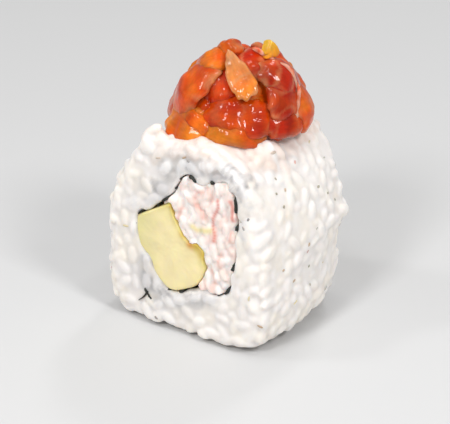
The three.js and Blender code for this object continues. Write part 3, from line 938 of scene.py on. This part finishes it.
# Darker spots of its edge: place on the cut face, reach and colour
AVOCADO_BRUISES = [
    ((2.4, 21.4), 0.9, (0.68, 0.25, 0.06)), ((3.9, 21.3), 1.2, (0.60, 0.40, 0.04)),
    ((5.4, 20.0), 1.2, (0.62, 0.44, 0.07)), ((0.6, 23.2), 0.8, (0.62, 0.44, 0.08)),
    ((-2.3, 28.6), 0.7, (0.60, 0.42, 0.08)),
]
AVOCADO_BRUISED, AVOCADO_RIM = 0.9, 0.9


def avocado_tint(points):
    """The avocado's colours: greener at the left, browner at the rim and most at the right."""
    flat = points[:, [0, 2]]
    rim = np.exp(-gap_to(flat, avocado_outline) / AVOCADO_RIM)
    right = np.clip((flat[:, 0] + flat[:, 1] - 20) / 6, 0, 1)
    left = np.clip((-5 - flat[:, 0]) / 4.5, 0, 1)
    tint = mix(AVOCADO, AVOCADO_GREEN, left)
    tint = mix(tint, AVOCADO_EDGE, np.clip(rim * (0.2 + 0.7 * right), 0, 1))
    for place, reach, color in AVOCADO_BRUISES:
        spot = np.exp(-((norm(flat - place, axis=1) / reach) ** 2))
        tint = mix(tint, color, AVOCADO_BRUISED * spot)
    return tint


def make_avocado():
    """The outline carried along the roll, with softened, slightly uneven ends."""
    half, count = AVOCADO_HALF, len(avocado_outline)
    shares = [*np.linspace(*AVOCADO_RINGS), 1 - AVOCADO_SOFT / AVOCADO_REACH]
    near_end = [(share, -half) for share in shares] + [(1.0, -half + AVOCADO_SOFT)]
    rows = np.linspace(-half + AVOCADO_IN, half - AVOCADO_IN, AVOCADO_ROWS)
    far_end = [(share, -y) for share, y in reversed(near_end)]
    middle = avocado_outline.mean(0)
    rings = []
    for share, y in near_end + [(1.0, y) for y in rows] + far_end:
        rings.append(placed(middle + (avocado_outline - middle) * share, y))
    points = np.concatenate(rings)
    sink = wobble(points, 0.35, 0.22, 3.0) + wobble(points, 1.4, 0.06, 8.0)
    points[:, 1] += np.where(np.abs(points[:, 1]) > half - 0.01, sink, 0)
    faces = []
    for r in range(len(rings) - 1):
        a, b = r * count, (r + 1) * count
        for j in range(count):
            k = (j + 1) % count
            faces.append((a + j, a + k, b + k, b + j))
    faces.append(tuple(reversed(range(count))))
    faces.append(tuple(range(len(points) - count, len(points))))
    return make_object("avocado_slice", points, faces, avocado_look, avocado_tint(points))


# Crab

CRAB_CORE, CRAB_LIMIT, CRAB_SQUASH = HALF - 0.95, HALF - 0.15, 0.75
# Ranges of a shred's length, width and height, and how shreds lie
SHRED_SIZES = ((2.8, 5.4), (1.4, 2.1), (1.4, 2.0))
SHRED_SLANT, SHRED_LEAN = (1.6, 0.55), (0, 0.25)
SHRED_DRAWS, SHRED_BOX = 5000, ((-11, 14), (9, 37))
SHRED_SPACING, SHRED_CLEAR = 1.5, 0.75
SHRED_DEPTH, SHRED_SHIFT = 1.1, 0.25
SHRED_PINK = 0.4
# Voxel, smoothing rounds and colour blending of the melted crab, and how strongly painted shade darkens
# its creases
CRAB_VOXEL, CRAB_ROUNDS, CRAB_BLEND, CRAB_CREASE_SHADE = 0.26, 5, 3, 0.4
# Coloured streaks, as places on the cut face, with a reach, a strength and a colour
CRAB_STREAKS = [
    ([(9.0, 32.8), (9.4, 31.6), (8.3, 29.6), (7.6, 27.3), (8.4, 25.6), (8.2, 24.0)], 0.42, 0.8, CRAB_RED),
    ([(3.4, 31.8), (3.9, 33.2), (5.3, 33.7)], 0.5, 0.6, CRAB_PINK),
    ([(3.7, 30.4), (5.2, 29.4), (5.6, 28.4)], 0.6, 0.7, CRAB_PINK),
    ([(0.0, 28.6), (-0.3, 27.6), (-0.6, 26.6)], 0.5, 0.6, CRAB_PINK),
    ([(12.2, 33.6), (12.6, 32.4), (12.6, 31.2), (12.8, 29.8)], 0.5, 0.75, CRAB_RED),
    ([(12.2, 26.6), (12.3, 25.8), (12.0, 24.8)], 0.5, 0.7, CRAB_PINK),
    ([(2.9, 25.6), (4.2, 25.2), (5.6, 25.4), (7.2, 25.8)], 0.65, 0.85, CRAB_YELLOW),
    ([(9.8, 21.4), (9.3, 19.8), (9.6, 18.4)], 0.5, 0.55, CRAB_PINK),
    ([(7.2, 16.8), (8.0, 15.6), (8.2, 14.6)], 0.5, 0.7, CRAB_PINK),
    ([(6.4, 34.6), (7.2, 33.4), (7.4, 32.2)], 0.5, 0.5, CRAB_PINK),
]
STREAK_STEPS, STREAK_DEPTH = 16, 3


def streaked(points, tint):
    """Streaks painted on the crab at both ends."""
    near_end = np.abs(points[:, 1]) > HALF - STREAK_DEPTH
    for flat, reach, strength, color in CRAB_STREAKS:
        gap = gap_to(points[:, ::2], smooth_path(flat, STREAK_STEPS))
        tint = mix(tint, color, strength * np.exp(-((gap / reach) ** 2)) * near_end)
    return tint


def make_crab():
    """Shreds of crab between the nori and the avocado: a core with lumps at both ends."""
    pile = Pile()
    core, core_faces = prism(crab_outline, CRAB_CORE)
    pile.add(core, core_faces, CRAB)
    shape, shape_faces = ball(14, 10)
    flat = np.stack([rng.uniform(*limits, SHRED_DRAWS) for limits in SHRED_BOX], 1)
    flat = flat[inside(flat, crab_outline) & (gap_to(flat, crab_outline) > SHRED_CLEAR)]
    for end in (-1, 1):
        for i in spread(flat, SHRED_SPACING):
            lump = shape * np.array([rng.uniform(*limits) for limits in SHRED_SIZES]) / 2
            lump += wobble(lump, 0.7, 0.4, i)[:, None] * shape
            slant = Matrix.Rotation(rng.normal(*SHRED_SLANT), 3, "Y")
            turn = slant @ Matrix.Rotation(rng.normal(*SHRED_LEAN), 3, "Z")
            depth = end * (HALF - SHRED_DEPTH + rng.uniform(-SHRED_SHIFT, SHRED_SHIFT))
            points = lump @ np.array(turn).T + (flat[i, 0], depth, flat[i, 1])
            points = held_in(pressed_back(points, CRAB_LIMIT, CRAB_SQUASH), crab_outline)
            pink = SHRED_PINK * rng.random() ** 3
            pile.add(points, shape_faces, mix(mix(CRAB, CRAB_WHITE, rng.random()), CRAB_PINK, pink))
    look = (crab_look, CRAB_VOXEL, CRAB_ROUNDS, CRAB_BLEND)
    return fused(pile, "crab_shreds", *look, lambda points: CRAB_CREASE_SHADE, paint=streaked)


# Salmon: bent flakes round a dome

DOME_SIZE, DOME_FOOT = (10.6, 10.6, 14.4), 41.2
DOME_WAVE = (0.3, 0.9)
FLAKE_RINGS, FLAKE_STEPS, FLAKE_SQUARE = 15, 56, 0.85
# Each row has a flake's bearing, distance from the heap's axis, height, how far its face looks up and the
# turn of its long axis there, then length, width, thickness, bend and taper, and last how deep its colour
# is (the flesh's own tone, with painted shade on flakes in the heap's hollows), how pale its rim is and
# how strong its fat lines are.
FLAKES = [
    (-112, 12.4, 44.9, 42, -6, 13, 9.5, 3, 0.6, 0, 0.15, 0.7, 0.3),
    (-98, 12, 46, 36, -22, 8, 3.6, 2.2, 0.4, 0, 0.3, 0.4, 0),
    (-63, 12, 45.4, 42, -5, 14.2, 6.2, 2.6, 1, 0, 0.28, 0.3, 0.1),
    (-54, 11, 47.7, 35, 3, 15, 9.2, 3, 0.8, 0, 0.72, 0.1, 0.2),
    (-54, 7.5, 55, 36, -66, 10.6, 4.8, 1.7, -0.2, 0.4, 0, 0.7, 0.6),
    (-118, 10.5, 51.5, 30, 76, 15, 8.4, 3, 0.7, 0, 0.55, 0.8, 0.1),
    (-112, 6.2, 56.2, 45, 60, 7, 5.4, 2.6, 0.5, 0, 0.2, 0.4, 0.2),
    (-88, 6.8, 52.4, 45, -64, 9.5, 8.4, 3, 0.3, 0, 0.95, 0, 0.1),
    (-103, 2.6, 57.6, 20, 50, 6, 4.6, 4, 0.2, 0, 0.4, 0.5, 0.2),
    (-4, 5.6, 56.1, 58, -24, 11, 8, 2.8, 0.6, 0, 0.85, 0.6, 0.4),
    (6, 10.5, 53.6, 34, -50, 12, 8, 2.8, 0.7, 0, 1, 0.7, 0.5),
    (24, 13.4, 47.3, 22, 80, 11.5, 9, 2.8, 0.6, 0, 0.5, 0.8, 0.1),
    (-5, 12.3, 45.9, 34, -10, 11, 7.2, 3, 0.6, 0, 0.85, 0.3, 0.2),
    (-4, 11.6, 50.4, 26, 66, 9.5, 8, 2.6, 0.4, 0, 0.95, 0.3, 0.3),
    (66, 10, 52.6, 38, 30, 14, 9.5, 2.6, 0.4, 0, 0.6, 0.6, 0.3),
    (70, 12, 45.8, 38, 8, 15, 9, 2.6, 0.5, 0, 0.4, 0.5, 0.2),
    (112, 11.2, 48.6, 34, -40, 13, 9.5, 2.6, 0.4, 0, 0.75, 0.4, 0.3),
    (152, 11.8, 44.6, 40, 12, 15, 9, 2.6, 0.5, 0, 0.45, 0.6, 0.2),
    (146, 7.8, 53.2, 46, 30, 13, 9, 2.8, 0.6, 0, 0.7, 0.5, 0.3),
    (196, 11.4, 47.8, 34, -36, 14, 10, 3, 0.7, 0, 0.5, 0.7, 0.2),
    (100, 3.6, 53.4, 66, 20, 12, 9, 3, 0.5, 0, 0.55, 0.5, 0.5),
    (-24, 7.6, 52.2, 35, -60, 9, 7, 2.6, 0.4, 0, 0.45, 0.2, 0.2),
    (-108, 9.2, 48.6, 38, -10, 8, 5, 2.6, 0.4, 0, 0.75, 0.2, 0.2),
]
# A bit of yellow on top and thin pale membranes at the right, placed and shaped as flakes are
YELLOW_BIT = (10, 6.7, 58.7, 20, 80, 3.5, 3, 2.4, 0.1, -0.8)
YELLOW_SEED = 39
MEMBRANES = [
    (10, 11.6, 54.8, 38, -78, 8.5, 0.8, 0.9, 1.2, 0),
    (8, 13.6, 49, 10, -114, 7.5, 0.7, 0.8, 0.4, 0),
    (-2, 6.6, 58.3, 60, -63, 5.5, 0.8, 0.8, 0.4, 0),
]
# Small bits over the side of the heap that is out of view, and their bearings
FAR_BITS, FAR_START, FAR_RANGE = 12, 50, 115
FAR_CLIMBS, FAR_SPREAD = (10, 50, 30), 8
FAR_OUT, FAR_FOOT, FAR_RISE, FAR_TILTS = 13.4, 45, 12.2, (20, 50)
FAR_SIZES, FAR_BEND, FAR_LINES = ((7, 11), (3.0, 4.4), (1.5, 2.0)), 0.8, 0.4
# Their ranges of taper, turn, depth of colour and paleness of the rim
FAR_LOOKS = ((-0.4, 0.4), (-80, 80), (0.1, 0.9), (0.3, 0.8))


def flake(length, width, thick, bend, taper, seed):
    """A bent slab along X: points, faces, unbent points and their shares of the way to the rim."""
    n = FLAKE_STEPS
    angle = np.linspace(0, 2 * pi, n, endpoint=False)
    c, s = np.cos(angle), np.sin(angle)
    round_trip = np.stack([c, s, 0 * c], 1)
    edge = 1 + wobble(round_trip, 1.1, 0.2, seed) + wobble(round_trip, 3.0, 0.16, seed + 5)
    shares = np.sin(np.linspace(0, pi / 2, FLAKE_RINGS + 1))[1:]
    x = signed_power(c, FLAKE_SQUARE) * length / 2 * edge
    y = signed_power(s, FLAKE_SQUARE) * width / 2 * edge
    layers = [(share, 1) for share in shares] + [(share, -1) for share in shares[-2::-1]]
    rows = []
    for q, side in layers:
        breadth = y * q * (1 + taper * x * q / length * 2)
        rows.append(np.stack([x * q, breadth, 0 * x + side * thick / 2 * sqrt(1 - q**5)], 1))
    points = np.concatenate([[(0, 0, thick / 2)], *rows, [(0, 0, -thick / 2)]])
    share = np.concatenate([[0], *[np.full(n, q) for q, _ in layers], [0]])
    faces = [(0, 1 + j, 1 + (j + 1) % n) for j in range(n)]
    for r in range(len(rows) - 1):
        a, b = 1 + r * n, 1 + (r + 1) * n
        faces += [(a + j, b + j, b + (j + 1) % n) for j in range(n)]
        faces += [(a + j, b + (j + 1) % n, a + (j + 1) % n) for j in range(n)]
    last, a = len(points) - 1, 1 + (len(rows) - 1) * n
    faces += [(last, a + (j + 1) % n, a + j) for j in range(n)]
    flat = points.copy()
    points[:, 2] += wobble(flat, 0.22, 0.8, seed * 3.1) + wobble(flat, 0.6, 0.2, seed * 1.7)
    points[:, 2] += 0.06 * np.sin(flat[:, 0] * 2.6 + wobble(flat, 0.3, 3.0, seed))
    points[:, 2] -= bend * (flat[:, 0] ** 2 + 0.5 * flat[:, 1] ** 2) / length
    return points, np.array(faces), flat, share


def flake_tint(flat, share, seed, deep, rim, lines):
    """A flake's colours: pale at the rim and in its fat lines, and as deep as its row gives: the flesh's
    own tone, with painted shade on flakes in the heap's hollows.
    """
    # Depth of colour: the flesh's own tone, partly painted shade where a flake lies in a hollow of the
    # heap
    ramp = np.clip(deep + wobble(flat, 0.3, 0.45, seed + 2), 0, 1)
    shallow = mix(SALMON_LIGHT, SALMON, np.minimum(1, ramp * 2))
    tint = mix(shallow, SALMON_DEEP, np.clip(ramp * 2 - 1, 0, 1))
    fat = np.clip(np.sin(flat[:, 0] * 1.5 + wobble(flat, 0.25, 4.0, seed + 7)) * 3 - 2.1, 0, 1)
    worn = np.clip(0.5 + wobble(flat, 0.5, 2.2, seed + 4), 0, 1)
    pale = lines * fat + rim * worn * share**8
    if deep == 0:
        pale += np.clip(0.4 - 0.5 * flat[:, 0] / flat[:, 0].max(), 0, 1)
    return mix(tint, SALMON_PALE, np.clip(pale, 0, 1))


def yellow_tint(flat, share, seed):
    """The yellow bit's colours, stained by the salmon at one end."""
    return mix(YELLOW, SALMON_LIGHT, np.clip(0.3 - flat[:, 0] / 3, 0, 0.8))


def membrane_tint(flat, share, seed):
    """A membrane's colours, mottled with the salmon's."""
    return mix(MEMBRANE, SALMON, np.clip(0.45 + wobble(flat, 0.9, 1.4, seed), 0.1, 0.9))


def far_bits():
    """Rows like those of FLAKES, for small bits spread over the far side by a seeded draw."""
    rows = []
    for i in range(FAR_BITS):
        bearing = FAR_START + FAR_RANGE * (i + rng.random()) / FAR_BITS
        climb = FAR_CLIMBS[i % len(FAR_CLIMBS)] + rng.uniform(-FAR_SPREAD, FAR_SPREAD)
        c, s = cos(radians(climb)), sin(radians(climb))
        place = (FAR_OUT * c, FAR_FOOT + FAR_RISE * s, FAR_TILTS[0] + FAR_TILTS[1] * s)
        size = [rng.uniform(*limits) for limits in FAR_SIZES]
        taper, turn, deep, rim = (rng.uniform(*limits) for limits in FAR_LOOKS)
        rows.append((bearing, *place, turn, *size, FAR_BEND, taper, deep, rim, FAR_LINES))
    return rows


def flake_frame(bearing, out, z, tilt, turn):
    """How a flake lies on the heap: its length, width and thickness axes as rows, and its middle."""
    b, t, s = (radians(a) for a in (bearing, tilt, turn))
    level = np.array((-sin(b), cos(b), 0))
    normal = np.array((cos(b) * cos(t), sin(b) * cos(t), sin(t)))
    upward = np.cross(normal, level)
    along = level * cos(s) + upward * sin(s)
    middle = np.array((HEAP_X + out * cos(b), HEAP_Y + out * sin(b), z))
    return np.stack([along, np.cross(normal, along), normal]), middle


def make_salmon():
    """The heap: a dome with flakes, small bits, the yellow bit and membranes."""
    pile = Pile()
    shape, shape_faces = ball(40, 26)
    dome = shape[:, ::-1] * DOME_SIZE
    dome += wobble(dome, *DOME_WAVE)[:, None] * unit(dome)
    pile.add(dome + (HEAP_X, HEAP_Y, DOME_FOOT), shape_faces[:, ::-1], SALMON)
    laid = [(row, seed, flake_tint) for seed, row in enumerate([*FLAKES, *far_bits()])]
    laid.append((YELLOW_BIT, YELLOW_SEED, yellow_tint))
    laid += [(row, seed, membrane_tint) for seed, row in enumerate(MEMBRANES, YELLOW_SEED + 1)]
    for row, seed, tint_at in laid:
        axes, middle = flake_frame(*row[:5])
        points, faces, flat, share = flake(*row[5:10], seed)
        pile.add(points @ axes + middle, faces, tint_at(flat, share, seed, *row[10:]), axes)
    return pile.make("salmon_flakes", salmon_look, fibres=True)


# Stage, light and camera, in metres

FLOOR_HALF, FLOOR_GREY, FLOOR_ROUGH = 1.5, 0.6, 0.7
# Square lights round the roll: name, azimuth and elevation in degrees, size in metres and power
LIGHTS = [
    ("key", 75, 42, 0.12, 1.4), ("front", 5, 40, 0.12, 1.45), ("top", 35, 88, 0.06, 0.25),
    ("high_left", 0, 66, 0.05, 0.2), ("high_right", 75, 68, 0.05, 0.2), ("side", -50, 55, 0.06, 0.4),
    ("back", 190, 50, 0.08, 0.5),
]
LIGHT_DISTANCE, LIGHT_AIM = 0.6, Vector((0, 0, 0.03))
SURROUND = 0.48


def stage():
    """A pale plain floor."""
    grey = (FLOOR_GREY, FLOOR_GREY, FLOOR_GREY, 1)
    made, _, _ = material("pale_floor", Roughness=FLOOR_ROUGH, Base_Color=grey)
    s = FLOOR_HALF
    mesh = bpy.data.meshes.new("floor")
    mesh.from_pydata([(-s, -s, 0), (s, -s, 0), (s, s, 0), (-s, s, 0)], [], [(0, 1, 2, 3)])
    mesh.materials.append(made)
    floor = linked("floor", mesh)


def softbox(name, azimuth, elevation, size, power):
    """A square light that looks at the roll from an angle."""
    light = bpy.data.lights.new(name, "AREA")
    light.energy, light.size = power, size
    linked(name, light).matrix_world = looking(azimuth, elevation, LIGHT_DISTANCE, LIGHT_AIM)


def surround():
    """Even white light from all round, with colours shown as they are."""
    world = bpy.data.worlds.new("studio")
    world.use_nodes = True
    tree = world.node_tree
    wire(tree, tree.nodes["Background"], Color=(1, 1, 1, 1), Strength=SURROUND)
    bpy.context.scene.world = world
    bpy.context.scene.view_settings.view_transform = "Standard"


def camera():
    """The photograph's camera."""
    data = bpy.data.cameras.new("camera")
    data.lens, data.sensor_width = CAMERA_LENS, CAMERA_SENSOR
    data.clip_start = CAMERA_CLIP
    pose = looking(CAMERA_AZIMUTH, CAMERA_ELEVATION, CAMERA_DISTANCE * MM, Vector((0, 0, MIDDLE * MM)))
    pose.translation += pose.to_3x3() @ Vector((CAMERA_AIM[0] * MM, CAMERA_AIM[1] * MM, 0))
    eye = linked("camera", data)
    eye.matrix_world = pose
    bpy.context.scene.camera = eye


# Each piece stands in for its solid

rice = make_rice()
avocado = make_avocado()
nori = make_nori()
crab = make_crab()
salmon = make_salmon()
pieces = {"rice": rice, "avocado": avocado, "nori": nori, "crab": crab, "salmon": salmon}
for node, piece in pieces.items():
    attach(piece, "root")
    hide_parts(node)

specks = make_specks(surface(rice))
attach(specks, "root")

stage()
for spot in LIGHTS:
    softbox(*spot)
surround()
camera()
